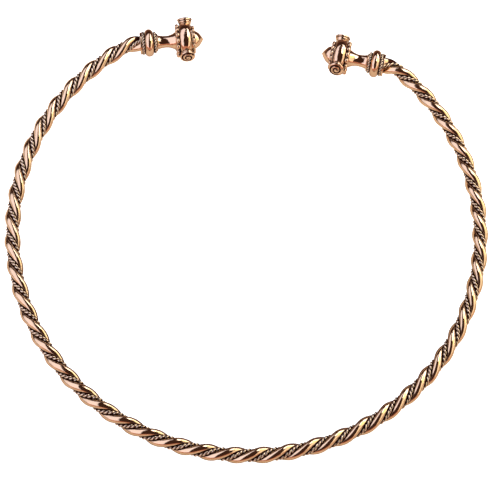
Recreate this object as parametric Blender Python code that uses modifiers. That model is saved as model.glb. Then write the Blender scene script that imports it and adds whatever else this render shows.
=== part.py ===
"""Bronze neck torc: a hoop twisted from two thick wires, with a fine rope in each groove of the
twist, and a cast terminal on each end. It lies flat, opening towards +Y, at its real size.

The hoop is laid out in its own plane, z = 0, with its centre at the origin. The whole torc is
then leant until it rests on the back of the hoop and on the lowest boss of each terminal."""

import math

import bmesh
import bpy
import numpy as np
from mathutils import Matrix, Vector

MM = 0.001

# Hoop
HOOP_OUTER_DIAMETER = 140.0 * MM
TWIST_WIRE_DIAMETER = 2.2 * MM
ROPE_DIAMETER = 1.05 * MM
TWIST_PITCH = 15.32 * MM  # along the hoop, for one full turn of a thick wire
TWIST_PHASE_DEG = 97.0  # of the first thick wire at the back of the hoop, from outward to up
WIRE_CLEARANCE = 0.05 * MM  # between wires that lie against each other

# Hoop ends
HALF_OPENING_DEG = 37.0  # from +Y to where each end leaves the round of the hoop
END_BEND_RADIUS = 7.0 * MM
END_STRAIGHT = 1.2 * MM  # of the hoop between its bend and the collar
LEFT_BEND_DEG = 27.0
RIGHT_BEND_DEG = 30.5

# Collar
SOCKET_CLEARANCE = 0.15 * MM
SOCKET_DEPTH = 2.0 * MM
SOCKET_WALL = 0.7 * MM
FLANGE_WIDTH = 0.55 * MM
MOUTH_RING_WIDTH = 0.8 * MM
MOUTH_RING_RISE = 0.15 * MM  # above the flange
COLLAR_BEAD_WIDTH = 2.65 * MM
COLLAR_BEAD_RISE = 0.8 * MM  # above the flange
NECK_RING_DIAMETER = 6.4 * MM
NECK_RING_WIDTH = 0.85 * MM
RING_SEAT = 0.3 * MM  # how far a ring stands out of the valley beside it
RING_CORNER = 0.2 * MM  # cut off a ring's edges
RIM_DIAMETER = 5.3 * MM
RIM_WIDTH = 0.4 * MM

# Neck
NECK_LENGTH = 5.5 * MM
NECK_START_DIAMETER = 4.3 * MM
NECK_WAIST_DIAMETER = 3.5 * MM
NECK_END_DIAMETER = 5.7 * MM
WAIST_SHARE = 0.45  # of the neck's length, where it is thinnest

# Wheel
WHEEL_DIAMETER = 10.5 * MM
WHEEL_EDGE_DROP = 0.9 * MM  # how much lower the barrel is at its edges, as a radius
BARREL_WIDTH = 3.3 * MM
STRIP_WIDTH = 0.5 * MM
STRIP_DROP = 0.2 * MM  # below the barrel's edge
INNER_BEAD_DIAMETER = 1.25 * MM
INNER_BEAD_SPACING = 0.6 * MM
INNER_ROW_DROP = 0.2 * MM  # of the inner beads' tops below the barrel's crown
INNER_SEAT_WIDTH = 1.0 * MM  # disc between neck and wheel, whose rim carries the inner beads
INNER_SEAT_DROP = 0.18 * MM  # of the disc's rim below the beads' centres
OUTER_BEAD_DIAMETER = 1.15 * MM
OUTER_BEAD_SPACING = 0.52 * MM
OUTER_ROW_RISE = 0.15 * MM  # of the outer beads' tops above the strip
OUTER_ROW_LIFT = 0.29 * MM  # of the outer beads' centres beyond the strip
BEAD_ROW_TURN_DEG = 5.0  # keeps the beads' corners off the seams of the turned body
CAP_GAP = 0.5 * MM  # between the outer beads and the cap
CAP_SEAT = 0.5 * MM  # straight foot of the cap
CAP_HEIGHT = 2.8 * MM
CAP_FULLNESS = 1.0  # 0.5 is a half ellipse, 1 is a pointed arch

# Bosses
UPPER_BOSSES_APART_DEG = 150.0  # the third boss is opposite the middle between these two
BOSS_FOOT_MARGIN = 0.05 * MM  # of the wheel's width, left bare on each side of a boss's foot
BOSS_OVERHANG = 0.4 * MM  # of the head beyond its foot
BOSS_RISE = 1.25 * MM  # of a boss's face above the barrel's crown
BOSS_ROOT_DEPTH = 2.1 * MM  # of a boss's foot inside the barrel
BOSS_HEAD = 0.7 * MM
BOSS_ROUNDING = 0.3 * MM
LEFT_ROLL_DEG = 0.0
RIGHT_ROLL_DEG = 14.0

# Spirals: for each boss the way its groove winds outwards, 1 against the clock, and where it ends
LEFT_SPIRALS = ((-1, 203), (1, 343), (1, 343))
RIGHT_SPIRALS = ((1, 298), (1, 298), (1, 298))
SPIRAL_SPACING = 0.88 * MM  # between the turns of the groove
SPIRAL_START_RADIUS = 0.3 * MM
SPIRAL_MARGIN = 0.4 * MM  # between the groove's last turn and the edge of the face
SPIRAL_GROOVE = 0.3 * MM  # half the width of the square cutter
SPIRAL_LIFT = 0.08 * MM  # of the cutter's middle above the face

# Facets
RINGS_PER_TURN = 6.4  # of a strand, in each full turn of the twist
WIRE_BEVEL_STEPS = 1  # gives six sides
ROPE_BEVEL_STEPS = 0  # gives four sides
GROOVE_BEVEL_STEPS = 0  # gives a square cutter
TURNED_STEPS = 13
BOSS_STEPS = 9
BEAD_SIDES = 4
BEAD_BANDS = 2
BEAD_ARC_STEPS = 4
BARREL_ARC_STEPS = 3
NECK_STEPS = 4
CAP_STEPS = 3
SPIRAL_STEPS_PER_TURN = 7
MERGE = 0.01 * MM

# How finely places are searched for
GAP_SAMPLES = 400
HALVINGS = 50
LEAN_ROUNDS = 6

BRONZE = (0.72, 0.45, 0.31, 1.0)
BRONZE_ROUGHNESS = 0.22
ROPE_BRONZE = (0.50, 0.34, 0.28, 1.0)
ROPE_ROUGHNESS = 0.38
CAST_BRONZE = (0.75, 0.48, 0.33, 1.0)
CAST_ROUGHNESS = 0.2


def strand_gap(inner, outer):
    """Least distance between two strands of one twist, a quarter turn apart, at these radii."""
    rate = 2 * math.pi / TWIST_PITCH
    along = np.linspace(0, TWIST_PITCH / 4, GAP_SAMPLES)
    square = inner**2 + outer**2 - 2 * inner * outer * np.sin(rate * along) + along**2
    return math.sqrt(square.min())


def rope_radius_in_groove(inner, wanted):
    """Radius at which a rope's centre is the wanted distance from those of the thick wires."""
    low, high = inner, inner + wanted
    for _ in range(HALVINGS):
        middle = (low + high) / 2
        if strand_gap(inner, middle) < wanted:
            low = middle
        else:
            high = middle
    return high


CHORD = math.cos(math.pi / RINGS_PER_TURN)  # how far a straight facet cuts inside its helix
WIRE_RADIUS = TWIST_WIRE_DIAMETER / 2
ROPE_RADIUS = ROPE_DIAMETER / 2
WIRE_CENTRE = WIRE_RADIUS + WIRE_CLEARANCE / 2
ROPE_CENTRE = rope_radius_in_groove(WIRE_CENTRE, WIRE_RADIUS + ROPE_RADIUS + WIRE_CLEARANCE)
WIRE_HELIX_RADIUS = WIRE_CENTRE / CHORD
ROPE_HELIX_RADIUS = ROPE_CENTRE / CHORD
HOOP_HALF_THICKNESS = max(WIRE_HELIX_RADIUS + WIRE_RADIUS, ROPE_HELIX_RADIUS + ROPE_RADIUS)
HOOP_RADIUS = HOOP_OUTER_DIAMETER / 2 - HOOP_HALF_THICKNESS

SOCKET_RADIUS = (HOOP_HALF_THICKNESS + SOCKET_CLEARANCE) / math.cos(math.pi / TURNED_STEPS)
FLANGE_RADIUS = SOCKET_RADIUS + SOCKET_WALL
MOUTH_RING_RADIUS = FLANGE_RADIUS + MOUTH_RING_RISE
COLLAR_BEAD_RADIUS = FLANGE_RADIUS + COLLAR_BEAD_RISE
NECK_RING_RADIUS = NECK_RING_DIAMETER / 2

WHEEL_RADIUS = WHEEL_DIAMETER / 2
BARREL_EDGE_RADIUS = WHEEL_RADIUS - WHEEL_EDGE_DROP
STRIP_RADIUS = BARREL_EDGE_RADIUS - STRIP_DROP
INNER_ROW_RADIUS = WHEEL_RADIUS - INNER_ROW_DROP - INNER_BEAD_DIAMETER / 2
OUTER_ROW_RADIUS = STRIP_RADIUS + OUTER_ROW_RISE - OUTER_BEAD_DIAMETER / 2
CAP_RADIUS = OUTER_ROW_RADIUS - OUTER_BEAD_DIAMETER / 2 - CAP_GAP
BOSS_REACH = WHEEL_RADIUS + BOSS_RISE
BOSS_FOOT_RADIUS = (BARREL_WIDTH + STRIP_WIDTH) / 2 - BOSS_FOOT_MARGIN
BOSS_RADIUS = BOSS_FOOT_RADIUS + BOSS_OVERHANG


def clear_scene():
    for obj in list(bpy.data.objects):
        bpy.data.objects.remove(obj, do_unlink=True)


def new_collection(name):
    collection = bpy.data.collections.new(name)
    bpy.context.scene.collection.children.link(collection)
    return collection


def metal(name, colour, roughness):
    material = bpy.data.materials.new(name)
    material.use_nodes = True
    shader = material.node_tree.nodes["Principled BSDF"]
    shader.inputs["Base Color"].default_value = colour
    shader.inputs["Metallic"].default_value = 1.0
    shader.inputs["Roughness"].default_value = roughness
    return material


def hoop_end(bend_deg):
    """Arc lengths from the back of the hoop to the end of its round, to the end of the bend that
    follows and to the collar's mouth."""
    round_end = HOOP_RADIUS * math.radians(180 - HALF_OPENING_DEG)
    bend_end = round_end + END_BEND_RADIUS * math.radians(bend_deg)
    return round_end, bend_end, bend_end + END_STRAIGHT


def centreline(along):
    """Point, heading and outward normal of the hoop, at this arc length from its back. The right
    half is worked out and the left half mirrors it, with its own bend."""
    side = 1 if along >= 0 else -1
    bend_deg = RIGHT_BEND_DEG if side > 0 else LEFT_BEND_DEG
    round_end, bend_end, _ = hoop_end(bend_deg)
    length = abs(along)
    turn = min(length, round_end) / HOOP_RADIUS
    point = Vector((math.sin(turn), -math.cos(turn))) * HOOP_RADIUS
    if length > round_end:
        bend = (min(length, bend_end) - round_end) / END_BEND_RADIUS
        start = Vector((math.sin(turn), -math.cos(turn)))
        end = Vector((math.sin(turn + bend), -math.cos(turn + bend)))
        point += (end - start) * END_BEND_RADIUS
        turn += bend
    if length > bend_end:
        point += Vector((math.cos(turn), math.sin(turn))) * (length - bend_end)
    heading = Vector((math.cos(turn), side * math.sin(turn), 0))
    outward = Vector((side * math.sin(turn), -math.cos(turn), 0))
    return Vector((side * point.x, point.y, 0)), heading, outward


def strand_points(radius, helix_radius, phase_deg):
    """Points of one strand of the twist, from inside the left socket to inside the right one. Its
    ends are square to the strand, so they stop short of the socket's floor by their own lean."""
    lean = math.atan(2 * math.pi * helix_radius / TWIST_PITCH)
    inside = SOCKET_DEPTH - SOCKET_CLEARANCE - radius * math.sin(lean)
    start = -hoop_end(LEFT_BEND_DEG)[-1] - inside
    end = hoop_end(RIGHT_BEND_DEG)[-1] + inside
    count = round((end - start) / TWIST_PITCH * RINGS_PER_TURN)
    points = []
    for step in range(count + 1):
        along = start + (end - start) * step / count
        centre, _, outward = centreline(along)
        angle = 2 * math.pi * along / TWIST_PITCH + math.radians(phase_deg)
        rise = Vector((0, 0, math.sin(angle)))
        points.append(centre + (outward * math.cos(angle) + rise) * helix_radius)
    return points


def tube(name, points, radius, bevel_steps, collection):
    curve = bpy.data.curves.new(name, "CURVE")
    curve.dimensions = "3D"
    curve.bevel_depth = radius
    curve.bevel_resolution = bevel_steps
    curve.use_fill_caps = True
    spline = curve.splines.new("POLY")
    spline.points.add(len(points) - 1)
    for spot, point in zip(spline.points, points):
        spot.co = (*point, 1)
    obj = bpy.data.objects.new(name, curve)
    collection.objects.link(obj)
    return obj


def make_hoop(collection):
    """Two thick wires half a turn apart, and the ropes in the two grooves between them."""
    wire_finish = metal("twist_bronze", BRONZE, BRONZE_ROUGHNESS)
    rope_finish = metal("rope_bronze", ROPE_BRONZE, ROPE_ROUGHNESS)
    strands = []
    for number in range(2):
        phase = TWIST_PHASE_DEG + 180 * number
        points = strand_points(WIRE_RADIUS, WIRE_HELIX_RADIUS, phase)
        wire = tube(f"twist_wire_{number + 1}", points, WIRE_RADIUS, WIRE_BEVEL_STEPS, collection)
        wire.data.materials.append(wire_finish)
        points = strand_points(ROPE_RADIUS, ROPE_HELIX_RADIUS, phase + 90)
        rope = tube(f"filigree_rope_{number + 1}", points, ROPE_RADIUS, ROPE_BEVEL_STEPS, collection)
        rope.data.materials.append(rope_finish)
        strands += [wire, rope]
    return strands


def band_points(start, end, crown, steps):
    """Points (radius, height) of a rounded band that rises to its crown between two feet."""
    points = [start]
    for step in range(1, steps):
        share = step / steps
        foot = start[0] + (end[0] - start[0]) * share
        height = start[1] + (end[1] - start[1]) * (1 - math.cos(math.pi * share)) / 2
        points.append((foot + (crown - foot) * math.sin(math.pi * share), height))
    return points + [end]


def ring_points(radius, start, width):
    """A narrow ring with cut corners, from the height where it starts."""
    return [(radius, start + RING_CORNER), (radius, start + width - RING_CORNER)]


def neck_points(start):
    """The neck thins to its waist and swells again."""
    points = []
    for step in range(NECK_STEPS + 1):
        share = step / NECK_STEPS
        near_start = share < WAIST_SHARE
        end_diameter = NECK_START_DIAMETER if near_start else NECK_END_DIAMETER
        reach = WAIST_SHARE if near_start else 1 - WAIST_SHARE
        swell = ((share - WAIST_SHARE) / reach) ** 2
        diameter = NECK_WAIST_DIAMETER + (end_diameter - NECK_WAIST_DIAMETER) * swell
        points.append((diameter / 2, start + NECK_LENGTH * share))
    return points


def cap_points(start):
    """A blunt cone with a rounded tip, on a straight foot."""
    points = [(CAP_RADIUS, start)]
    for step in range(CAP_STEPS + 1):
        share = step / CAP_STEPS
        height = start + CAP_SEAT + CAP_HEIGHT * share
        points.append((CAP_RADIUS * (1 - share**2) ** CAP_FULLNESS, height))
    return points


def terminal_profile():
    """Outline (radius, height) of the turned body, from the socket's floor to the cap's tip, and
    the heights at which the bosses and the two bead rows sit."""
    points = [(0, SOCKET_DEPTH), (SOCKET_RADIUS, SOCKET_DEPTH), (SOCKET_RADIUS, 0)]
    points += [(FLANGE_RADIUS, 0), (FLANGE_RADIUS, FLANGE_WIDTH)]
    points += ring_points(MOUTH_RING_RADIUS, FLANGE_WIDTH, MOUTH_RING_WIDTH)
    bead_start = FLANGE_WIDTH + MOUTH_RING_WIDTH
    bead_end = bead_start + COLLAR_BEAD_WIDTH
    first_foot = (MOUTH_RING_RADIUS - RING_SEAT, bead_start)
    last_foot = (NECK_RING_RADIUS - RING_SEAT, bead_end)
    points += band_points(first_foot, last_foot, COLLAR_BEAD_RADIUS, BEAD_ARC_STEPS)
    points += ring_points(NECK_RING_RADIUS, bead_end, NECK_RING_WIDTH)
    rim_start = bead_end + NECK_RING_WIDTH
    neck_start = rim_start + RIM_WIDTH
    points += [(RIM_DIAMETER / 2, rim_start), (RIM_DIAMETER / 2, neck_start)]
    points += neck_points(neck_start)
    seat_start = neck_start + NECK_LENGTH
    wheel_start = seat_start + INNER_SEAT_WIDTH
    seat_radius = INNER_ROW_RADIUS - INNER_SEAT_DROP
    points += [(seat_radius, seat_start), (seat_radius, wheel_start)]
    barrel_end = wheel_start + BARREL_WIDTH
    feet = (BARREL_EDGE_RADIUS, wheel_start), (BARREL_EDGE_RADIUS, barrel_end)
    points += band_points(*feet, WHEEL_RADIUS, BARREL_ARC_STEPS)
    strip_end = barrel_end + STRIP_WIDTH
    points += [(STRIP_RADIUS, barrel_end), (STRIP_RADIUS, strip_end)]
    points += cap_points(strip_end)
    boss_height = (wheel_start + strip_end) / 2
    return points, boss_height, wheel_start - INNER_BEAD_DIAMETER / 2, strip_end + OUTER_ROW_LIFT


def turned(name, points, steps, collection):
    """A closed turned solid about Z. The outline is given going up its outer side."""
    mesh = bpy.data.meshes.new(name)
    bm = bmesh.new()
    corners = [bm.verts.new((radius, 0, height)) for radius, height in reversed(points)]
    for first, second in zip(corners, corners[1:]):
        bm.edges.new((first, second))
    bm.to_mesh(mesh)
    bm.free()
    obj = bpy.data.objects.new(name, mesh)
    collection.objects.link(obj)
    screw = obj.modifiers.new("turn", "SCREW")
    screw.steps = steps
    screw.render_steps = steps
    screw.use_merge_vertices = True
    screw.merge_threshold = MERGE
    return obj


def as_mesh(obj, collection):
    """The object with its modifiers or curve made a plain mesh, its caps and seams welded."""
    graph = bpy.context.evaluated_depsgraph_get()
    mesh = bpy.data.meshes.new_from_object(obj.evaluated_get(graph))
    bm = bmesh.new()
    bm.from_mesh(mesh)
    bmesh.ops.remove_doubles(bm, verts=bm.verts, dist=MERGE)
    bm.to_mesh(mesh)
    bm.free()
    plain = bpy.data.objects.new(obj.name + "_mesh", mesh)
    plain.matrix_world = obj.matrix_world
    collection.objects.link(plain)
    bpy.data.objects.remove(obj, do_unlink=True)
    return plain


def hide_tool(obj, parent):
    obj.hide_render = True
    obj.display_type = "WIRE"
    obj.parent = parent


def bead_row(name, diameter, spacing, ring_radius, height, collection):
    """A row of beads round the axis: each is a low faceted ball with a corner outwards."""
    mesh = bpy.data.meshes.new(name)
    bm = bmesh.new()
    count = round(2 * math.pi * ring_radius / (diameter + spacing))
    for number in range(count):
        angle = math.radians(BEAD_ROW_TURN_DEG + 360 * number / count)
        place = Matrix.Rotation(angle, 4, "Z")
        place @= Matrix.Translation((ring_radius, 0, height))
        place @= Matrix.Rotation(math.pi / 2, 4, "Y")
        bmesh.ops.create_uvsphere(
            bm, u_segments=BEAD_SIDES, v_segments=BEAD_BANDS, radius=diameter / 2, matrix=place
        )
    bm.to_mesh(mesh)
    bm.free()
    obj = bpy.data.objects.new(name, mesh)
    collection.objects.link(obj)
    return obj


def boss_frame(number, roll_deg, height):
    """Turns Z outwards along a boss's own axis, which starts on the terminal's axis."""
    turns_deg = (UPPER_BOSSES_APART_DEG / 2, 180, -UPPER_BOSSES_APART_DEG / 2)
    angle = math.radians(roll_deg + turns_deg[number])
    return (
        Matrix.Rotation(angle, 4, "Z")
        @ Matrix.Translation((0, 0, height))
        @ Matrix.Rotation(math.pi / 2, 4, "Y")
    )


def boss(name, frame, collection):
    root = WHEEL_RADIUS - BOSS_ROOT_DEPTH
    head_foot = BOSS_REACH - BOSS_HEAD
    outline = [
        (0, root),
        (BOSS_FOOT_RADIUS, root),
        (BOSS_FOOT_RADIUS, head_foot),
        (BOSS_RADIUS, head_foot + BOSS_ROUNDING / 2),
        (BOSS_RADIUS, BOSS_REACH - BOSS_ROUNDING),
        (BOSS_RADIUS - BOSS_ROUNDING, BOSS_REACH),
        (0, BOSS_REACH),
    ]
    obj = turned(name, outline, BOSS_STEPS, collection)
    obj.matrix_world = frame
    return as_mesh(obj, collection)


def spiral_cutter(name, spiral, frame, collection):
    """A thin tube wound as a flat spiral on a boss's face, which cuts the groove."""
    winding, end_deg = spiral
    last_radius = BOSS_RADIUS - BOSS_ROUNDING - SPIRAL_MARGIN
    turns = (last_radius - SPIRAL_START_RADIUS) / SPIRAL_SPACING
    steps = round(turns * SPIRAL_STEPS_PER_TURN)
    height = BOSS_REACH + SPIRAL_LIFT
    points = []
    for step in range(steps + 1):
        share = step / steps
        radius = SPIRAL_START_RADIUS + (last_radius - SPIRAL_START_RADIUS) * share
        angle = math.radians(end_deg) - winding * 2 * math.pi * turns * (1 - share)
        points.append((radius * math.cos(angle), radius * math.sin(angle), height))
    obj = tube(name, points, SPIRAL_GROOVE, GROOVE_BEVEL_STEPS, collection)
    obj.matrix_world = frame
    return as_mesh(obj, collection)


def boolean(obj, tool, operation):
    modifier = obj.modifiers.new(tool.name, "BOOLEAN")
    modifier.operation = operation
    modifier.object = tool
    modifier.solver = "EXACT"


def make_terminal(side, roll_deg, spirals, finish, collection, tools):
    profile, boss_height, inner_height, outer_height = terminal_profile()
    body = turned(f"{side}_terminal", profile, TURNED_STEPS, collection)
    body.data.materials.append(finish)
    rows = (
        ("inner", INNER_BEAD_DIAMETER, INNER_BEAD_SPACING, INNER_ROW_RADIUS, inner_height),
        ("outer", OUTER_BEAD_DIAMETER, OUTER_BEAD_SPACING, OUTER_ROW_RADIUS, outer_height),
    )
    for row, *sizes in rows:
        beads = bead_row(f"{side}_{row}_beads", *sizes, tools)
        hide_tool(beads, body)
        boolean(body, beads, "UNION")
    frames = [boss_frame(number, roll_deg, boss_height) for number in range(len(spirals))]
    for number, frame in enumerate(frames):
        head = boss(f"{side}_boss_{number + 1}", frame, tools)
        hide_tool(head, body)
        boolean(body, head, "UNION")
    for number, (frame, spiral) in enumerate(zip(frames, spirals)):
        groove = spiral_cutter(f"{side}_spiral_{number + 1}", spiral, frame, tools)
        hide_tool(groove, body)
        boolean(body, groove, "DIFFERENCE")
    return body


def seat_terminal(body, end):
    """Puts the collar's mouth on the hoop's end: Z runs on along the hoop and X points up."""
    centre, heading, _ = centreline(end)
    axis = heading if end > 0 else -heading
    up = Vector((0, 0, 1))
    across = axis.cross(up)
    turn = Matrix((up, across, axis)).transposed()
    body.matrix_world = Matrix.Translation(centre) @ turn.to_4x4()


def corners(obj):
    """All the corners of an object as it is evaluated, in the hoop's own frame."""
    graph = bpy.context.evaluated_depsgraph_get()
    evaluated = obj.evaluated_get(graph)
    mesh = evaluated.to_mesh()
    found = np.array([obj.matrix_world @ vertex.co for vertex in mesh.vertices])
    evaluated.to_mesh_clear()
    return found


def lay_down(pieces, feet):
    """Leans the pieces until the three feet touch the ground, with the middle of the whole at the
    origin. Each foot is a list of the pieces that one point of contact is looked for on."""
    bpy.context.view_layer.update()
    clouds = {piece.name: corners(piece) for piece in pieces}
    groups = [np.concatenate([clouds[piece.name] for piece in foot]) for foot in feet]
    lean = Matrix.Identity(3)
    for _ in range(LEAN_ROUNDS):
        up = np.array(lean)[2]
        touch = [Vector(group[(group @ up).argmin()]) for group in groups]
        normal = (touch[1] - touch[0]).cross(touch[2] - touch[0]).normalized()
        if normal.z < 0:
            normal = -normal
        lean = normal.rotation_difference(Vector((0, 0, 1))).to_matrix()
    everything = np.concatenate(list(clouds.values())) @ np.array(lean).T
    low, high = everything.min(axis=0), everything.max(axis=0)
    ground = bpy.data.objects.new("torc_at_rest", None)
    bpy.context.scene.collection.objects.link(ground)
    ground.rotation_euler = lean.to_euler()
    ground.location = (-(low[0] + high[0]) / 2, -(low[1] + high[1]) / 2, -low[2])
    for piece in pieces:
        piece.parent = ground


def main():
    clear_scene()
    torc = new_collection("bronze_torc")
    tools = new_collection("torc_cutters")
    strands = make_hoop(torc)
    finish = metal("cast_bronze", CAST_BRONZE, CAST_ROUGHNESS)
    left = make_terminal("left", LEFT_ROLL_DEG, LEFT_SPIRALS, finish, torc, tools)
    right = make_terminal("right", RIGHT_ROLL_DEG, RIGHT_SPIRALS, finish, torc, tools)
    seat_terminal(left, -hoop_end(LEFT_BEND_DEG)[-1])
    seat_terminal(right, hoop_end(RIGHT_BEND_DEG)[-1])
    lay_down([*strands, left, right], [[left], [right], strands])
    bpy.context.view_layer.update()


main()
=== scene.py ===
"""Bronze neck torc on a white table: smooth twisted wires with fine two-ply ropes in their grooves,
and a cast terminal with beads, twisted rings and spiral bosses on each end."""

import math

import bmesh
import bpy
import numpy as np
from mathutils import Euler, Matrix, Vector
from mathutils.bvhtree import BVHTree
from mathutils.kdtree import KDTree


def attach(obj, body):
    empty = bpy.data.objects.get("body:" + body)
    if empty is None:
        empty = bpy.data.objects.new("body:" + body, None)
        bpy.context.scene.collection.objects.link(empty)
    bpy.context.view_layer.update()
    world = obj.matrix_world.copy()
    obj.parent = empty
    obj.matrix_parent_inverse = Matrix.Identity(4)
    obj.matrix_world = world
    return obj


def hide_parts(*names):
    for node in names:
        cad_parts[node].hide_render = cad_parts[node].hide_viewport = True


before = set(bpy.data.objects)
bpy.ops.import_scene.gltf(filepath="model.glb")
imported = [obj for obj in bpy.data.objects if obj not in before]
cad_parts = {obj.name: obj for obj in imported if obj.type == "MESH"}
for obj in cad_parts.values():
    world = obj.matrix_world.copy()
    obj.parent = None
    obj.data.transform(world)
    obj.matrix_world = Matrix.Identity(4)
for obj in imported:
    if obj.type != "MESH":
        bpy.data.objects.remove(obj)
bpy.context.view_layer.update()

MM = 0.001

# Resting place of the hoop's own plane
REST_LEAN_DEG = (1.997, -0.279, -0.005)
REST_LEAN = Euler([math.radians(angle) for angle in REST_LEAN_DEG])
HOOP_CENTRE = Vector((-0.062, 2.579, 4.66)) * MM
REST = Matrix.Translation(HOOP_CENTRE) @ REST_LEAN.to_matrix().to_4x4()

# Camera, in the hoop's own plane
IMAGE_WIDTH_PX = 500
IMAGE_HEIGHT_PX = 478
FOCAL_LENGTH_PX = 2766
HOOP_CENTRE_PX = (246.7, 229.5)
CAMERA_DISTANCE = 0.8
CAMERA_ELEVATION_DEG = 69.61
CAMERA_AZIMUTH_DEG = 0.96
CAMERA_ROLL_DEG = 4.24
CAMERA_CLIP = (0.01, 20)

# Hoop
HOOP_RADIUS = 67.624 * MM
TWIST_PITCH = 15.32 * MM
TWIST_PHASE_DEG = 97.0
HALF_OPENING_DEG = 37.0
END_BEND_RADIUS = 7.0 * MM
END_STRAIGHT = 1.2 * MM
LEFT_BEND_DEG = 27.0
RIGHT_BEND_DEG = 30.5
END_INSIDE = 1.3 * MM  # how far the strands reach into the collar

# Thick wires
WIRE_RADIUS = 1.17 * MM
WIRE_CENTRE = 1.19 * MM  # from the middle of the hoop
WIRE_RINGS_PER_TURN = 30
WIRE_BEVEL_STEPS = 9
WIRE_SHELTER_RADII = (1.85 * MM, 1.5 * MM)  # from there, where shelter starts and is full

# Ropes
ROPE_CENTRE = 1.45 * MM
ROPE_PITCH = 2.5 * MM
ROPE_SHELTER_RADII = (1.8 * MM, 1.4 * MM)
PLY_RADIUS = 0.265 * MM
PLY_CENTRE = 0.255 * MM  # from the middle of the rope
PLY_RINGS_PER_TURN = 14
PLY_BEVEL_STEPS = 3
PLY_GAP_DEPTHS = (0.4 * MM, 0.26 * MM)  # where the dark between the plies starts and is full

# Collar
SOCKET_RADIUS = 2.6 * MM
SOCKET_DEPTH = 2.0 * MM
FLANGE_RADIUS = 3.3 * MM
FLANGE_WIDTH = 0.55 * MM
MOUTH_RING_WIDTH = 0.8 * MM
MOUTH_RING_RADIUS = 3.45 * MM
MOUTH_RING_TURNS = 11
MOUTH_BED_RADIUS = 2.95 * MM
COLLAR_BEAD_WIDTH = 2.65 * MM
COLLAR_BEAD_RADIUS = 4.1 * MM
NECK_RING_WIDTH = 0.85 * MM
NECK_RING_RADIUS = 3.2 * MM
NECK_RING_TURNS = 10
NECK_BED_RADIUS = 2.7 * MM
RING_PLY_SWELL = 1.1  # the plies of a cast ring run into one another
RIM_RADIUS = 2.65 * MM
RIM_WIDTH = 0.4 * MM

# Neck
NECK_LENGTH = 5.5 * MM
NECK_START_RADIUS = 2.15 * MM
NECK_WAIST_RADIUS = 1.75 * MM
NECK_END_RADIUS = 2.85 * MM
WAIST_SHARE = 0.45

# Wheel
WHEEL_RADIUS = 5.25 * MM
BARREL_EDGE_RADIUS = 4.35 * MM
BARREL_WIDTH = 3.3 * MM
STRIP_RADIUS = 4.15 * MM
STRIP_WIDTH = 0.5 * MM
SEAT_RADIUS = 4.2 * MM
SEAT_WIDTH = 1.0 * MM
CAP_RADIUS = 2.65 * MM
CAP_SEAT = 0.5 * MM
CAP_HEIGHT = 2.8 * MM
CAP_FULLNESS = 1.0
EDGE_ROUNDING = 0.12 * MM

# Beads: how many, height along the axis, distance of the centres from it, size across and along
INNER_BEADS = 15
INNER_BEAD_PLACE = (11.15 * MM, 4.42 * MM)
INNER_BEAD_SIZE = (1.45 * MM, 1.2 * MM)
OUTER_BEADS = 14
OUTER_BEAD_PLACE = (15.84 * MM, 3.72 * MM)
OUTER_BEAD_SIZE = (1.5 * MM, 1.05 * MM)

# Bosses 1 and 3 show from above, and boss 2 is under the terminal, opposite their middle
UPPER_BOSSES_APART_DEG = 150.0
BOSS_ANGLES_DEG = (UPPER_BOSSES_APART_DEG / 2, 180, -UPPER_BOSSES_APART_DEG / 2)
LEFT_ROLL_DEG = 0.0
RIGHT_ROLL_DEG = 14.0
BOSS_HEIGHT = 13.65 * MM  # along the terminal
BOSS_RADIUS = 2.25 * MM
BOSS_REACH = 6.5 * MM  # of the rim, and of the whole face where a boss has to lie flat
BOSS_ROUNDING = 0.34 * MM
BOSS_LIP_ROUNDING = 0.15 * MM
BOSS_HEAD = 0.62 * MM
BOSS_WAIST_RADIUS = 1.78 * MM
BOSS_SWELL_RADIUS = 2.05 * MM
BOSS_SWELL_DROP = 0.35 * MM  # from under the head to the middle of the swell
BOSS_SWELL_HALF_WIDTH = 0.3 * MM
BOSS_SWELL_START_DEG = -60
BOSS_ROOT = 3.15 * MM
BOSS_SHAFT_SINK = 0.3 * MM  # the shaft ends this far under the wheel's crown
FACE_DOMES = (0.42 * MM, 0.0, 0.42 * MM)

# Spirals: each boss's way of winding, and where its groove ends on the rim in degrees
LEFT_SPIRALS = ((-1, 203), (1, 343), (1, 343))
RIGHT_SPIRALS = ((1, 298), (1, 298), (1, 298))
SPIRAL_START_RADIUS = 0.25 * MM
SPIRAL_GROWTH = 0.93 * MM  # of the radius in each turn
SPIRAL_TURNS = 1.85
SPIRAL_RUN_IN = 0.08  # of a turn, inside the start
GROOVE_HALF_WIDTH = 0.32 * MM
GROOVE_DEPTH = 0.3 * MM
GROOVE_SHARPNESS = 1.5
GROOVE_DARK_DEPTH = 0.14 * MM  # from here down it is full of patina

# Facets
TURNED_STEPS = 96
EDGE_STEPS = 4
COLLAR_BEAD_STEPS = 24
BARREL_STEPS = 28
NECK_STEPS = 20
FACE_STEPS = 40
BOSS_TURN_STEPS = 104
BOSS_RIM_STEPS = 8
BOSS_SWELL_STEPS = 6
BEAD_SUBDIVISIONS = 3
MERGE = 0.002 * MM

# Shelter, the share of near surface round a point
SHELTER_RAYS = 18
SHELTER_REACH = 1.3 * MM
SHELTER_LIFT = 0.01 * MM
GOLDEN_ANGLE = math.pi * (3 - math.sqrt(5))

# Metals: the two colours that a finish drifts between
WIRE_COLOURS = ((0.88, 0.62, 0.42, 1.0), (0.81, 0.55, 0.36, 1.0))
ROPE_COLOURS = ((0.90, 0.72, 0.56, 1.0), (0.80, 0.62, 0.48, 1.0))
CAST_COLOURS = ((0.88, 0.61, 0.43, 1.0), (0.82, 0.55, 0.37, 1.0))

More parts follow.
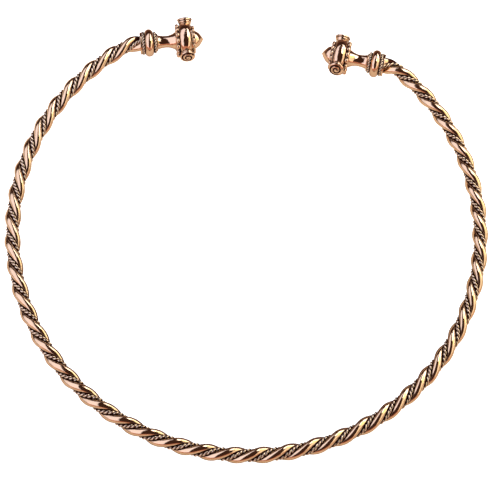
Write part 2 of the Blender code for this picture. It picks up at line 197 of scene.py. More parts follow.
# Finishes. The patina starts and is full at these shares of shelter.
FINISHES = {
    "rose_bronze_wire": dict(
        colours=WIRE_COLOURS, roughness=0.11, patina=(0.3, 0.7), scratches=0.25, dimples=2.2
    ),
    "fine_wire_bronze": dict(
        colours=ROPE_COLOURS, roughness=0.2, patina=(0.2, 0.7), scratches=0.2, dimples=0.5
    ),
    "cast_rose_bronze": dict(
        colours=CAST_COLOURS, roughness=0.09, patina=(0.27, 0.5), scratches=0.2, dimples=5.0
    ),
    "cast_twist_bronze": dict(
        colours=ROPE_COLOURS, roughness=0.18, patina=(0.15, 0.4), scratches=0.2, dimples=1.0
    ),
}
SPECULAR_LEVEL = 0.15
BUMP_DISTANCE = 0.02 * MM
PATINA_COLOUR = (0.035, 0.005, 0.001, 1.0)
PATINA_ROUGHNESS = 0.5
PATINA_METALLIC = 0.6
PATINA_BREAK = 0.24  # how far the clouds shift its edge, in shares of shelter
SCRATCH_LEAN = (0.5, 0.3, 0.8)
SCRATCH_SCALE = (9000.0, 900.0, 9000.0)
FILM_RANGE = (0.3, 0.7)
FILM_ROUGHNESS = (0.75, 1.35)  # times the finish's own, at the two ends of that range

# Noises: scale, detail and roughness
PATINA_CLOUDS = (1400.0, 4.0, 0.6)
SCRATCH_NOISE = (1.0, 3.0, 0.5)
DIMPLE_NOISE = (550.0, 2.0, 0.5)
FILM_NOISE = (350.0, 5.0, 0.65)

# Table, in metres from the middle of the torc. A painted shade, seen only where the bronze mirrors
# the paper, starts and is full at its two limits.
TABLE_RADIUS = 3.0
TABLE_FACETS = 96
TABLE_ROUGHNESS = 0.9
TABLE_GLOW = 0.9
TABLE_COLOUR = (0.9, 0.9, 0.9, 1.0)
# Painted reflection: the paper's colour as mirrored in the bronze, and the colour of its painted
# shade
PAINTED_REFLECTION_COLOUR = (0.64, 0.55, 0.44, 1.0)
PAINTED_REFLECTION_SHADE_COLOUR = (0.11, 0.055, 0.038, 1.0)
PAINTED_SHADE_BEHIND_Y = (0.066, 0.08)
PAINTED_SHADE_INSIDE_RADIUS = (0.072, 0.062)
PAINTED_SHADE_FRONT_Y = (0.02, -0.03)

# Room: its front light starts and is full at these heights and depths of the direction
ROOM_RADIANCE = 0.05
ROOM_COLOUR = (1.0, 0.47, 0.33, 1.0)
FRONT_RADIANCE = 0.62
FRONT_LIGHT_Z = (0.42, 0.3)
FRONT_LIGHT_Y = (-0.2, -0.6)

# Soft lamps in the picture's own frame: name, place that the limits are measured from, turn in
# degrees, limits across and along, radiance, colour
WHITE = (1.0, 1.0, 1.0)
COOL_WHITE = (0.96, 1.0, 1.2)
PALE_VIOLET = (1.0, 1.0, 1.2)
TAN = (1.0, 0.92, 0.72)
YELLOW = (1.0, 0.95, 0.5)
LEFT_EDGE = (-0.085, 0.05, 0.2)
LEFT_FAR_EDGE = (-0.4066, 0.0985, 0.2)
OVERHEAD_FILL = ("overhead_fill", (0.0, 0.0, 1.6), 0, (-1.0, 1.0), (-1.0, 1.0), 1.6, WHITE)
PANELS = (
    ("left_panel", LEFT_EDGE, -8, (-0.33, 0.0), (-0.25, 0.95), 1.2, COOL_WHITE),
    ("left_wall", LEFT_FAR_EDGE, -8, (-2.0, 0.0), (-0.1, 0.9), 1.05, COOL_WHITE),
    ("left_low_wall", LEFT_FAR_EDGE, -8, (-1.0, 0.0), (-0.35, -0.1), 0.6, PALE_VIOLET),
    ("right_low_panel", (0.165, 0.05, 0.2), 6, (0.0, 1.1), (-0.3, 0.0), 1.25, TAN),
    ("right_panel", (0.2, 0.065, 0.2), -6, (0.0, 1.5), (0.0, 0.3), 1.8, YELLOW),
    ("white_strip", (0.1, 0.13, 0.2), -8, (0.0, 0.085), (0.0, 0.5), 4.0, WHITE),
    ("right_top_panel", (0.24, 0.38, 0.2), -12, (0.0, 3.0), (0.0, 3.0), 3.0, WHITE),
)


def picture_frame():
    """The hoop's centre, with X to the right and Y up in the picture and Z towards the camera."""
    elevation = math.radians(CAMERA_ELEVATION_DEG)
    azimuth = math.radians(CAMERA_AZIMUTH_DEG)
    level = math.cos(elevation)
    back = Vector((math.sin(azimuth) * level, -math.cos(azimuth) * level, math.sin(elevation)))
    right = Vector((0, 0, 1)).cross(back).normalized()
    turn = Matrix((right, back.cross(right), back)).transposed().to_4x4()
    return REST @ turn @ Matrix.Rotation(math.radians(CAMERA_ROLL_DEG), 4, "Z")


def make_camera():
    """The hoop's centre falls on its own pixel by a small shift of the lens."""
    camera = bpy.data.objects.new("camera", bpy.data.cameras.new("camera"))
    bpy.context.scene.collection.objects.link(camera)
    camera.matrix_world = picture_frame() @ Matrix.Translation((0, 0, CAMERA_DISTANCE))
    lens = camera.data
    lens.sensor_fit = "HORIZONTAL"
    lens.lens = lens.sensor_width * FOCAL_LENGTH_PX / IMAGE_WIDTH_PX
    lens.shift_x = (IMAGE_WIDTH_PX / 2 - HOOP_CENTRE_PX[0]) / IMAGE_WIDTH_PX
    lens.shift_y = (HOOP_CENTRE_PX[1] - IMAGE_HEIGHT_PX / 2) / IMAGE_WIDTH_PX
    lens.dof.use_dof = False
    lens.clip_start, lens.clip_end = CAMERA_CLIP
    bpy.context.scene.camera = camera


def hoop_end(bend_deg):
    """Arc lengths from the back of the hoop to the end of its round, to the end of the bend that
    follows and to the collar's mouth."""
    round_end = HOOP_RADIUS * math.radians(180 - HALF_OPENING_DEG)
    bend_end = round_end + END_BEND_RADIUS * math.radians(bend_deg)
    return round_end, bend_end, bend_end + END_STRAIGHT


def centreline(along):
    """Point, heading and outward normal of the hoop, at this arc length from its back. The right
    half is worked out and the left half mirrors it, with its own bend."""
    side = 1 if along >= 0 else -1
    round_end, bend_end, _ = hoop_end(RIGHT_BEND_DEG if side > 0 else LEFT_BEND_DEG)
    length = abs(along)
    turn = min(length, round_end) / HOOP_RADIUS
    point = Vector((math.sin(turn), -math.cos(turn))) * HOOP_RADIUS
    if length > round_end:
        bend = (min(length, bend_end) - round_end) / END_BEND_RADIUS
        start = Vector((math.sin(turn), -math.cos(turn)))
        end = Vector((math.sin(turn + bend), -math.cos(turn + bend)))
        point += (end - start) * END_BEND_RADIUS
        turn += bend
    if length > bend_end:
        point += Vector((math.cos(turn), math.sin(turn))) * (length - bend_end)
    heading = Vector((math.cos(turn), side * math.sin(turn), 0))
    outward = Vector((side * math.sin(turn), -math.cos(turn), 0))
    return Vector((side * point.x, point.y, 0)), heading, outward


def twist_point(along, radius, phase_deg):
    """A point of the left-handed twist, and its direction from the middle of the hoop."""
    centre, _, outward = centreline(along)
    angle = 2 * math.pi * along / TWIST_PITCH + math.radians(phase_deg)
    away = outward * math.cos(angle) + Vector((0, 0, math.sin(angle)))
    return centre + away * radius, away


def strand_points(rings_per_turn, pitch, radius, phase_deg):
    """The twist's points and directions at each ring of a strand, from one collar to the other."""
    start = -hoop_end(LEFT_BEND_DEG)[-1] - END_INSIDE
    end = hoop_end(RIGHT_BEND_DEG)[-1] + END_INSIDE
    count = round((end - start) / pitch * rings_per_turn)
    lengths = [start + (end - start) * step / count for step in range(count + 1)]
    return [twist_point(along, radius, phase_deg) for along in lengths]


def tube_mesh(points, radius, bevel_steps, cyclic=False):
    """A round tube through the points."""
    curve = bpy.data.curves.new("tube", "CURVE")
    curve.dimensions = "3D"
    curve.bevel_depth = radius
    curve.bevel_resolution = bevel_steps
    curve.use_fill_caps = not cyclic
    spline = curve.splines.new("POLY")
    spline.points.add(len(points) - 1)
    for spot, point in zip(spline.points, points):
        spot.co = (*point, 1)
    spline.use_cyclic_u = cyclic
    obj = bpy.data.objects.new("tube", curve)
    bpy.context.scene.collection.objects.link(obj)
    graph = bpy.context.evaluated_depsgraph_get()
    mesh = bpy.data.meshes.new_from_object(obj.evaluated_get(graph))
    bpy.data.objects.remove(obj, do_unlink=True)
    bpy.data.curves.remove(curve)
    return mesh


def join_meshes(meshes):
    """One mesh of several, with their doubles merged, so that caps and seams are closed."""
    bm = bmesh.new()
    for mesh in meshes:
        bm.from_mesh(mesh)
        bpy.data.meshes.remove(mesh)
    bmesh.ops.remove_doubles(bm, verts=bm.verts, dist=MERGE)
    bmesh.ops.recalc_face_normals(bm, faces=bm.faces)
    return bm


def thick_wire(phase_deg):
    route = strand_points(WIRE_RINGS_PER_TURN, TWIST_PITCH, WIRE_CENTRE, phase_deg)
    return join_meshes([tube_mesh([spot for spot, _ in route], WIRE_RADIUS, WIRE_BEVEL_STEPS)])


def twist_plies(rings, distance):
    """Middle lines of two plies twisted round each other. Each ring has its own middle and two
    directions across."""
    plies = [[], []]
    for step, (middle, out, side) in enumerate(rings):
        angle = -2 * math.pi * step / PLY_RINGS_PER_TURN
        reach = (out * math.cos(angle) + side * math.sin(angle)) * distance
        plies[0].append(middle + reach)
        plies[1].append(middle - reach)
    return plies


def smoothstep(low, high, values):
    share = np.clip((values - low) / (high - low), 0, 1)
    return share * share * (3 - 2 * share)


def mark_ply_gap(bm, middle):
    """Marks the gap between a rope's plies, which is near the middle of the rope."""
    tree = KDTree(len(middle))
    for number, spot in enumerate(middle):
        tree.insert(spot, number)
    tree.balance()
    groove = bm.verts.layers.float.new("groove")
    for vert in bm.verts:
        vert[groove] = smoothstep(*PLY_GAP_DEPTHS, tree.find(vert.co)[2])


def rope(phase_deg):
    """Two fine wires twisted round each other along a groove of the hoop."""
    route = strand_points(PLY_RINGS_PER_TURN, ROPE_PITCH, ROPE_CENTRE, phase_deg)
    rings = []
    for step, (spot, away) in enumerate(route):
        before = route[max(step - 1, 0)][0]
        after = route[min(step + 1, len(route) - 1)][0]
        ahead = (after - before).normalized()
        side = ahead.cross(away).normalized()
        rings.append((spot, side.cross(ahead), side))
    plies = twist_plies(rings, PLY_CENTRE)
    bm = join_meshes([tube_mesh(ply, PLY_RADIUS, PLY_BEVEL_STEPS) for ply in plies])
    mark_ply_gap(bm, [spot for spot, _ in route])
    return bm


def twisted_ring(radius, width, start, turns):
    """A ring round the terminal, cast as two fine wires twisted round each other."""
    ply_radius = width / 4
    count = turns * PLY_RINGS_PER_TURN
    up = Vector((0, 0, 1))
    rings = []
    for step in range(count):
        angle = 2 * math.pi * step / count
        away = Vector((math.cos(angle), math.sin(angle), 0))
        rings.append((away * (radius - width / 2) + up * (start + width / 2), away, up))
    plies = twist_plies(rings, ply_radius)
    swollen = ply_radius * RING_PLY_SWELL
    return join_meshes([tube_mesh(ply, swollen, PLY_BEVEL_STEPS, cyclic=True) for ply in plies])


def arc(centre_radius, centre_height, rise, reach, steps, start_deg=-90, end_deg=90):
    """Points (radius, height) of an elliptical arc. 0 degrees is its crown, away from the axis."""
    points = []
    for step in range(steps + 1):
        angle = math.radians(start_deg + (end_deg - start_deg) * step / steps)
        height = centre_height + reach * math.sin(angle)
        points.append((centre_radius + rise * math.cos(angle), height))
    return points


def quarter(centre_radius, centre_height, size, start_deg, steps=EDGE_STEPS):
    """A quarter of a circle, from this angle on."""
    return arc(centre_radius, centre_height, size, size, steps, start_deg, start_deg + 90)


def rounded_band(radius, start, end):
    """A straight band with rounded edges."""
    flat = radius - EDGE_ROUNDING
    points = quarter(flat, start + EDGE_ROUNDING, EDGE_ROUNDING, -90)
    return points + quarter(flat, end - EDGE_ROUNDING, EDGE_ROUNDING, 0)


def neck_points(start):
    """The neck thins to its waist and swells again to the wheel."""
    points = []
    for step in range(NECK_STEPS + 1):
        share = step / NECK_STEPS
        near_start = share < WAIST_SHARE
        end_radius = NECK_START_RADIUS if near_start else NECK_END_RADIUS
        reach = WAIST_SHARE if near_start else 1 - WAIST_SHARE
        swell = ((share - WAIST_SHARE) / reach) ** 2
        radius = NECK_WAIST_RADIUS + (end_radius - NECK_WAIST_RADIUS) * swell
        points.append((radius, start + NECK_LENGTH * share))
    return points


def cap_points(start):
    points = [(CAP_RADIUS, start)]
    for step in range(NECK_STEPS + 1):
        share = math.sin(math.pi / 2 * step / NECK_STEPS)
        radius = CAP_RADIUS * (1 - share**2) ** CAP_FULLNESS
        points.append((radius, start + CAP_SEAT + CAP_HEIGHT * share))
    return points


def bulge(edge_radius, crown_radius, start, end, steps):
    """An elliptical bulge between two heights."""
    middle = (start + end) / 2
    return arc(edge_radius, middle, crown_radius - edge_radius, (end - start) / 2, steps)


def body_outline():
    """Outline (radius, height) of the terminal's body, from the socket's floor to the cap's tip."""
    bead_start = FLANGE_WIDTH + MOUTH_RING_WIDTH
    bead_end = bead_start + COLLAR_BEAD_WIDTH
    rim_start = bead_end + NECK_RING_WIDTH
    neck_start = rim_start + RIM_WIDTH
    seat_start = neck_start + NECK_LENGTH
    wheel_start = seat_start + SEAT_WIDTH
    barrel_end = wheel_start + BARREL_WIDTH
    strip_end = barrel_end + STRIP_WIDTH
    bed = (MOUTH_BED_RADIUS + NECK_BED_RADIUS) / 2
    return [
        (0, SOCKET_DEPTH),
        (SOCKET_RADIUS, SOCKET_DEPTH),
        (SOCKET_RADIUS, EDGE_ROUNDING),
        *quarter(SOCKET_RADIUS + EDGE_ROUNDING, EDGE_ROUNDING, EDGE_ROUNDING, 180),
        *rounded_band(FLANGE_RADIUS, 0, FLANGE_WIDTH),
        (MOUTH_BED_RADIUS, FLANGE_WIDTH),
        (MOUTH_BED_RADIUS, bead_start),
        *bulge(bed, COLLAR_BEAD_RADIUS, bead_start, bead_end, COLLAR_BEAD_STEPS),
        (NECK_BED_RADIUS, bead_end),
        (NECK_BED_RADIUS - EDGE_ROUNDING, rim_start),
        *rounded_band(RIM_RADIUS, rim_start, neck_start),
        *neck_points(neck_start),
        *rounded_band(SEAT_RADIUS, seat_start, wheel_start),
        *bulge(BARREL_EDGE_RADIUS, WHEEL_RADIUS, wheel_start, barrel_end, BARREL_STEPS),
        *rounded_band(STRIP_RADIUS, barrel_end, strip_end),
        *cap_points(strip_end),
    ]


def turn_round(outline, steps):
    """A closed solid turned about Z from its outline, which goes up its outer side."""
    bm = bmesh.new()
    verts = [bm.verts.new((radius, 0, height)) for radius, height in outline]
    edges = [bm.edges.new(pair) for pair in zip(verts, verts[1:])]
    bmesh.ops.spin(
        bm,
        geom=verts + edges,
        cent=(0, 0, 0),
        axis=(0, 0, 1),
        angle=2 * math.pi,
        steps=steps,
        use_merge=True,
    )
    bmesh.ops.remove_doubles(bm, verts=bm.verts, dist=MERGE)
    bmesh.ops.recalc_face_normals(bm, faces=bm.faces)
    return bm


def bead_row(count, place, size):
    """Beads round the axis, each a little wider round the row than along the terminal."""
    height, ring_radius = place
    across, lengthwise = size
    spot = Matrix.Translation((ring_radius, 0, height))
    shape = Matrix.Diagonal((lengthwise, across, lengthwise, 1))
    bm = bmesh.new()
    for number in range(count):
        turn = Matrix.Rotation(2 * math.pi * number / count, 4, "Z")
        bmesh.ops.create_icosphere(
            bm, subdivisions=BEAD_SUBDIVISIONS, radius=0.5, matrix=turn @ spot @ shape
        )
    return bm


def groove_depth(x, y, winding, end_deg):
    """How deep the spiral groove is at a point of a boss's face."""
    radius = math.hypot(x, y)
    angle = winding * (math.atan2(y, x) - math.radians(end_deg)) / (2 * math.pi)
    nearest = GROOVE_HALF_WIDTH
    turns = SPIRAL_TURNS + angle % 1 - 1
    while turns > -SPIRAL_RUN_IN:
        nearest = min(nearest, abs(radius - SPIRAL_START_RADIUS - SPIRAL_GROWTH * turns))
        turns -= 1
    return GROOVE_DEPTH * math.cos(math.pi / 2 * nearest / GROOVE_HALF_WIDTH) ** GROOVE_SHARPNESS


def boss_outline(dome):
    """A round head on a shaft that swells under it, from the root to the middle of the face."""
    flat = BOSS_RADIUS - BOSS_ROUNDING
    under = BOSS_REACH - BOSS_HEAD
    lip = BOSS_LIP_ROUNDING
    outline = [
        (0, BOSS_ROOT),
        (BOSS_WAIST_RADIUS, BOSS_ROOT),
        (BOSS_WAIST_RADIUS, WHEEL_RADIUS - BOSS_SHAFT_SINK),
        *arc(
            BOSS_WAIST_RADIUS,
            under - BOSS_SWELL_DROP,
            BOSS_SWELL_RADIUS - BOSS_WAIST_RADIUS,
            BOSS_SWELL_HALF_WIDTH,
            BOSS_SWELL_STEPS,
            start_deg=BOSS_SWELL_START_DEG,
        ),
        (BOSS_WAIST_RADIUS, under),
        *quarter(BOSS_RADIUS - lip, under + lip, lip, -90),
        *quarter(flat, BOSS_REACH - BOSS_ROUNDING, BOSS_ROUNDING, 0, BOSS_RIM_STEPS),
    ]
    for step in range(FACE_STEPS - 1, -1, -1):
        radius = flat * step / FACE_STEPS
        outline.append((radius, BOSS_REACH + dome * (1 - (radius / flat) ** 2)))
    return outline


def boss(dome, winding, end_deg):
    """A boss with a spiral groove cut into its face and marked, so that it turns dark."""
    bm = turn_round(boss_outline(dome), BOSS_TURN_STEPS)
    groove = bm.verts.layers.float.new("groove")
    for vert in bm.verts:
        if vert.co.z > BOSS_REACH - BOSS_ROUNDING:
            depth = groove_depth(vert.co.x, vert.co.y, winding, end_deg)
            vert.co.z -= depth
            vert[groove] = min(depth / GROOVE_DARK_DEPTH, 1)
    return bm


def boss_frame(number, roll_deg):
    """Turns Z outwards along a boss's own axis, which starts on the terminal's axis."""
    turn = Matrix.Rotation(math.radians(roll_deg + BOSS_ANGLES_DEG[number]), 4, "Z")
    return turn @ Matrix.Translation((0, 0, BOSS_HEIGHT)) @ Matrix.Rotation(math.pi / 2, 4, "Y")


def seat_frame(end):
    """Puts the collar's mouth on the hoop's end: Z runs on along the hoop and X points up."""
    centre, heading, _ = centreline(end)
    axis = heading if end > 0 else -heading
    up = Vector((0, 0, 1))
    turn = Matrix((up, axis.cross(up), axis)).transposed()
    return Matrix.Translation(centre) @ turn.to_4x4()


def spread_directions():
    """Directions spread evenly over the half space round +Z, thicker towards it."""
    directions = []
    for number in range(SHELTER_RAYS):
        share = (number + 0.5) / SHELTER_RAYS
        level = math.sqrt(share)
        angle = GOLDEN_ANGLE * number
        x, y = level * math.cos(angle), level * math.sin(angle)
        directions.append(Vector((x, y, math.sqrt(1 - share))))
    return directions


def write_shelter(mesh, values):
    """Stores how sheltered each corner of the mesh is. Its own grooves count as sheltered."""
    if "groove" in mesh.attributes:
        values = np.maximum(values, [spot.value for spot in mesh.attributes["groove"].data])
    attribute = mesh.attributes.new("shelter", "FLOAT", "POINT")
    attribute.data.foreach_set("value", values)


def cast_shelter(meshes):
    """Marks on each mesh how much of the view from each corner is blocked close by."""
    points, faces = [], []
    for mesh in meshes:
        first = len(points)
        points += [vertex.co.copy() for vertex in mesh.vertices]
        faces += [[first + corner for corner in face.vertices] for face in mesh.polygons]
    tree = BVHTree.FromPolygons(points, faces)
    directions = spread_directions()
    for mesh in meshes:
        values = []
        for vertex in mesh.vertices:
            turn = vertex.normal.to_track_quat("Z", "Y").to_matrix()
            start = vertex.co + vertex.normal * SHELTER_LIFT
            rays = [tree.ray_cast(start, turn @ way, SHELTER_REACH) for way in directions]
            values.append(sum(hit is not None for hit, *_ in rays) / SHELTER_RAYS)
        write_shelter(mesh, values)


def strand_shelter(mesh, radii):
    """Marks a strand as sheltered where it lies near the middle of the hoop."""
    points = np.array([vertex.co for vertex in mesh.vertices]) - np.array(HOOP_CENTRE)
    points = points @ np.array(REST.to_3x3())
    level = np.hypot(points[:, 0], points[:, 1]) - HOOP_RADIUS
    write_shelter(mesh, smoothstep(*radii, np.hypot(level, points[:, 2])))


def as_mesh(bm, name, matrix):
    mesh = bpy.data.meshes.new(name)
    bm.transform(matrix)
    bm.to_mesh(mesh)
    bm.free()
    mesh.shade_smooth()
    mesh.update()
    return mesh


def add_piece(mesh, material, slot, *nodes):
    mesh.materials.clear()
    mesh.materials.append(material)
    piece = bpy.data.objects.new(mesh.name, mesh)
    bpy.context.scene.collection.objects.link(piece)
    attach(piece, "root")
    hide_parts(*nodes)


def make_hoop(wire_finish, rope_finish):
    for number in range(2):
        phase = TWIST_PHASE_DEG + 180 * number
        mesh = as_mesh(thick_wire(phase), f"smooth_wire_{number + 1}", REST)
        strand_shelter(mesh, WIRE_SHELTER_RADII)
        add_piece(mesh, wire_finish, "twist_bronze", f"twist_wire_{number + 1}")
        mesh = as_mesh(rope(phase + 90), f"two_ply_rope_{number + 1}", REST)
        strand_shelter(mesh, ROPE_SHELTER_RADII)
        add_piece(mesh, rope_finish, "rope_bronze", f"filigree_rope_{number + 1}")


def make_terminal(side, end, roll_deg, spirals, cast_finish, ring_finish):
    """Body, rings, beads and bosses of one terminal."""
    place = REST @ seat_frame(end)
    roll = Matrix.Rotation(math.radians(roll_deg), 4, "Z")
    neck_ring_start = FLANGE_WIDTH + MOUTH_RING_WIDTH + COLLAR_BEAD_WIDTH
    forms = {
        "body": turn_round(body_outline(), TURNED_STEPS),
        "mouth_ring": twisted_ring(
            MOUTH_RING_RADIUS, MOUTH_RING_WIDTH, FLANGE_WIDTH, MOUTH_RING_TURNS
        ),
        "neck_ring": twisted_ring(
            NECK_RING_RADIUS, NECK_RING_WIDTH, neck_ring_start, NECK_RING_TURNS
        ),
        "inner_beads": bead_row(INNER_BEADS, INNER_BEAD_PLACE, INNER_BEAD_SIZE),
        "outer_beads": bead_row(OUTER_BEADS, OUTER_BEAD_PLACE, OUTER_BEAD_SIZE),
    }
    meshes = [as_mesh(bm, f"{side}_{name}", place @ roll) for name, bm in forms.items()]
    for number, (winding, end_deg) in enumerate(spirals):
        bm = boss(FACE_DOMES[number], winding, end_deg)
        seat = place @ boss_frame(number, roll_deg)
        meshes.append(as_mesh(bm, f"{side}_boss_{number + 1}", seat))
    cast_shelter(meshes)
    for mesh in meshes:
        finish = ring_finish if "_ring" in mesh.name else cast_finish
        add_piece(mesh, finish, "cast_bronze", f"{side}_terminal")


def connect(tree, made, inputs):
    """Links each of these inputs of a node to a socket, or sets it to a constant."""
    for name, value in inputs.items():
        if isinstance(value, bpy.types.NodeSocket):
            tree.links.new(value, made.inputs[name])
        else:
            made.inputs[name].default_value = value


def node(tree, kind, place, inputs=None, **settings):
    made = tree.nodes.new(kind)
    made.location = place
    for name, value in settings.items():
        setattr(made, name, value)
    connect(tree, made, inputs or {})
    return made


def calculated(tree, operation, place, *values):
    """The result of a calculation on sockets and constants."""
    made = node(tree, "ShaderNodeMath", place, dict(enumerate(values)), operation=operation)
    return made.outputs[0]


def soft_mask(tree, place, value, start, full):
    """A mask that rises from 0 where the value is at its start to 1 where it is full."""
    inputs = {"Value": value, "From Min": start, "From Max": full}
    made = node(tree, "ShaderNodeMapRange", place, inputs, interpolation_type="SMOOTHSTEP")
    return made.outputs["Result"]


def rescaled(tree, place, value, low, high, source=(0.0, 1.0)):
    """The value, moved in proportion from its source range to the range from low to high."""
    inputs = {
        "Value": value,
        "From Min": source[0],
        "From Max": source[1],
        "To Min": low,
        "To Max": high,
    }
    return node(tree, "ShaderNodeMapRange", place, inputs).outputs["Result"]


def mixed(tree, kind, place, mask, first, second):
    """The first colour or value where the mask is 0, and the second where it is 1."""
    inputs = {"Factor": mask, "A": first, "B": second}
    return node(tree, "ShaderNodeMix", place, inputs, data_type=kind).outputs["Result"]


def noise(tree, place, vector, scale, detail, roughness):
    inputs = {"Vector": vector, "Scale": scale, "Detail": detail, "Roughness": roughness}
    return node(tree, "ShaderNodeTexNoise", place, inputs).outputs["Fac"]


def new_group(name, inputs, outputs):
    """An empty node group with number sockets, and the nodes for its two ends."""
    group = bpy.data.node_groups.new(name, "ShaderNodeTree")
    for way, sockets in (("INPUT", inputs), ("OUTPUT", outputs)):
        for socket in sockets:
            group.interface.new_socket(socket, in_out=way, socket_type="NodeSocketFloat")
    start = node(group, "NodeGroupInput", (-1000, 0))
    return group, start, node(group, "NodeGroupOutput", (800, 0))


def patina_group():
    """Where dark patina fills what is sheltered, with an edge broken by fine clouds."""
    group, start, end = new_group("groove_patina", ("Shelter", "Start", "Full"), ("Mask",))
    place = node(group, "ShaderNodeTexCoord", (-1000, -250)).outputs["Object"]
    cloud = noise(group, (-800, -250), place, *PATINA_CLOUDS)
    shift = calculated(
        group, "MULTIPLY_ADD", (-600, -250), cloud, PATINA_BREAK, -PATINA_BREAK / 2
    )
    total = calculated(group, "ADD", (-400, 0), start.outputs["Shelter"], shift)
    mask = soft_mask(group, (0, 0), total, start.outputs["Start"], start.outputs["Full"])
    connect(group, end, {"Mask": mask})
    return group


def wear_group():
    """Fine scratches and casting dimples of a metal that was polished by hand, and its film."""
    group, start, end = new_group(
        "hand_polish", ("Scratches", "Dimples"), ("Height", "Dullness")
    )
    place = node(group, "ShaderNodeTexCoord", (-1000, -250)).outputs["Object"]
    drawn_out = node(
        group,
        "ShaderNodeMapping",
        (-800, 200),
        {"Vector": place, "Rotation": SCRATCH_LEAN, "Scale": SCRATCH_SCALE},
    )
    scratch = noise(group, (-600, 200), drawn_out.outputs["Vector"], *SCRATCH_NOISE)
    dimple = noise(group, (-600, -100), place, *DIMPLE_NOISE)
    film = noise(group, (-600, -400), place, *FILM_NOISE)
    scratches = calculated(
        group, "MULTIPLY", (-300, 200), scratch, start.outputs["Scratches"]
    )
    height = calculated(
        group, "MULTIPLY_ADD", (0, 0), dimple, start.outputs["Dimples"], scratches
    )
    connect(group, end, {"Height": height, "Dullness": film})
    return group


def bronze(name, groups, colours, roughness, patina, scratches, dimples):
    """Polished bronze whose sheltered places are filled with dark patina."""
    material = bpy.data.materials.new(name)
    material.use_nodes = True
    tree = material.node_tree
    patina_tree, wear_tree = groups
    shelter = node(tree, "ShaderNodeAttribute", (-1200, 200), attribute_name="shelter")
    filled = node(
        tree,
        "ShaderNodeGroup",
        (-900, 200),
        {"Shelter": shelter.outputs["Fac"], "Start": patina[0], "Full": patina[1]},
        node_tree=patina_tree,
    )
    wear = node(
        tree,
        "ShaderNodeGroup",
        (-900, -200),
        {"Scratches": scratches, "Dimples": dimples},
        node_tree=wear_tree,
    )
    mask = filled.outputs["Mask"]
    dullness = wear.outputs["Dullness"]
    clean_colour = mixed(tree, "RGBA", (-600, 400), dullness, *colours)
    low, high = (roughness * times for times in FILM_ROUGHNESS)
    clean_roughness = rescaled(tree, (-600, 0), dullness, low, high, FILM_RANGE)
    bump = node(
        tree,
        "ShaderNodeBump",
        (-350, -300),
        {"Height": wear.outputs["Height"], "Strength": 1.0, "Distance": BUMP_DISTANCE},
    )
    finish = {
        "Base Color": mixed(tree, "RGBA", (-350, 400), mask, clean_colour, PATINA_COLOUR),
        "Metallic": rescaled(tree, (-350, 200), mask, 1.0, PATINA_METALLIC),
        "Roughness": mixed(tree, "FLOAT", (-350, 0), mask, clean_roughness, PATINA_ROUGHNESS),
        "Specular IOR Level": SPECULAR_LEVEL,
        "Normal": bump.outputs["Normal"],
    }
    connect(tree, tree.nodes["Principled BSDF"], finish)
    return material


def white_paper():
    """Paper that is plain white to the camera. Where the bronze mirrors it, it is painted a darker,
    warmer colour as a painted reflection, with painted shade behind the torc and inside the front
    of the hoop."""
    material = bpy.data.materials.new("white_paper")
    material.use_nodes = True
    tree = material.node_tree
    seen = node(tree, "ShaderNodeLightPath", (-600, -300))
    place = node(tree, "ShaderNodeTexCoord", (-1400, 200)).outputs["Object"]
    level = node(tree, "ShaderNodeVectorMath", (-1200, 300), {0: place}, operation="LENGTH")
    split = node(tree, "ShaderNodeSeparateXYZ", (-1200, 0), {0: place})
    # Painted shade on the paper, seen only in the bronze: behind the torc and inside the front of
    # the hoop
    inside = soft_mask(tree, (-1000, 300), level.outputs["Value"], *PAINTED_SHADE_INSIDE_RADIUS)
    behind = soft_mask(tree, (-1000, 0), split.outputs["Y"], *PAINTED_SHADE_BEHIND_Y)
    front = soft_mask(tree, (-1000, -300), split.outputs["Y"], *PAINTED_SHADE_FRONT_Y)
    inner = calculated(tree, "MULTIPLY", (-800, -100), inside, front)
    shade = calculated(tree, "MAXIMUM", (-700, 100), behind, inner)
    # The paper's painted reflection colour, darkened where the painted shade lies
    painted_reflection = mixed(tree, "RGBA", (-500, 200), shade, PAINTED_REFLECTION_COLOUR, PAINTED_REFLECTION_SHADE_COLOUR)
    glossy_ray = seen.outputs["Is Glossy Ray"]
    finish = {
        "Base Color": mixed(tree, "RGBA", (-300, 200), glossy_ray, TABLE_COLOUR, painted_reflection),
        "Roughness": TABLE_ROUGHNESS,
        "Specular IOR Level": 0.0,
        "Emission Color": (*WHITE, 1.0),
        "Emission Strength": calculated(
            tree, "MULTIPLY", (-300, -300), seen.outputs["Is Camera Ray"], TABLE_GLOW
        ),
    }
    connect(tree, tree.nodes["Principled BSDF"], finish)
    return material


def make_table():
    bm = bmesh.new()
    bmesh.ops.create_circle(bm, cap_ends=True, segments=TABLE_FACETS, radius=TABLE_RADIUS)
    mesh = as_mesh(bm, "table", Matrix.Identity(4))
    mesh.materials.append(white_paper())
    table = bpy.data.objects.new("table", mesh)
    bpy.context.scene.collection.objects.link(table)


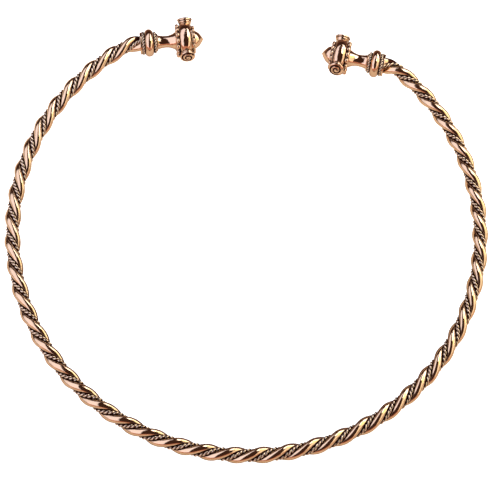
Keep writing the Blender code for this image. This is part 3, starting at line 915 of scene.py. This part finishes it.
def softbox(name, corner, turn_deg, across, along, radiance, colour, glossy=True):
    """A soft lamp parallel to the picture, whose limits are measured from a place in the picture's
    own frame after this turn."""
    size = across[1] - across[0], along[1] - along[0]
    lamp = bpy.data.lights.new(name, "AREA")
    lamp.shape = "RECTANGLE"
    lamp.size, lamp.size_y = size
    lamp.energy = radiance * math.pi * size[0] * size[1]
    lamp.color = colour
    obj = bpy.data.objects.new(name, lamp)
    bpy.context.scene.collection.objects.link(obj)
    turn = Matrix.Rotation(math.radians(turn_deg), 4, "Z")
    middle = Matrix.Translation((sum(across) / 2, sum(along) / 2, 0))
    obj.matrix_world = picture_frame() @ Matrix.Translation(corner) @ turn @ middle
    obj.visible_glossy = glossy
    obj.visible_camera = False


def make_room():
    """A dark room that is lighter low down in front."""
    world = bpy.data.worlds.new("studio")
    bpy.context.scene.world = world
    world.use_nodes = True
    tree = world.node_tree
    way = node(tree, "ShaderNodeTexCoord", (-900, 0))
    split = node(tree, "ShaderNodeSeparateXYZ", (-700, 0), {0: way.outputs["Generated"]})
    low = soft_mask(tree, (-500, 0), split.outputs["Z"], *FRONT_LIGHT_Z)
    front = soft_mask(tree, (-500, -300), split.outputs["Y"], *FRONT_LIGHT_Y)
    both = calculated(tree, "MULTIPLY", (-300, -100), low, front)
    strength = rescaled(tree, (-150, -100), both, ROOM_RADIANCE, FRONT_RADIANCE)
    connect(tree, tree.nodes["Background"], {"Color": ROOM_COLOUR, "Strength": strength})


def make_studio():
    """A fill from above that isn't mirrored, and panels that are, with a dark gap between the left
    and the right ones where the camera looks through."""
    make_room()
    softbox(*OVERHEAD_FILL, glossy=False)
    for panel in PANELS:
        softbox(*panel)
    bpy.context.scene.view_settings.view_transform = "Standard"


def main():
    make_camera()
    groups = patina_group(), wear_group()
    wire_finish, rope_finish, cast_finish, ring_finish = (
        bronze(name, groups, **values) for name, values in FINISHES.items()
    )
    make_hoop(wire_finish, rope_finish)
    left_end = -hoop_end(LEFT_BEND_DEG)[-1]
    right_end = hoop_end(RIGHT_BEND_DEG)[-1]
    make_terminal("left", left_end, LEFT_ROLL_DEG, LEFT_SPIRALS, cast_finish, ring_finish)
    make_terminal("right", right_end, RIGHT_ROLL_DEG, RIGHT_SPIRALS, cast_finish, ring_finish)
    make_table()
    make_studio()


main()
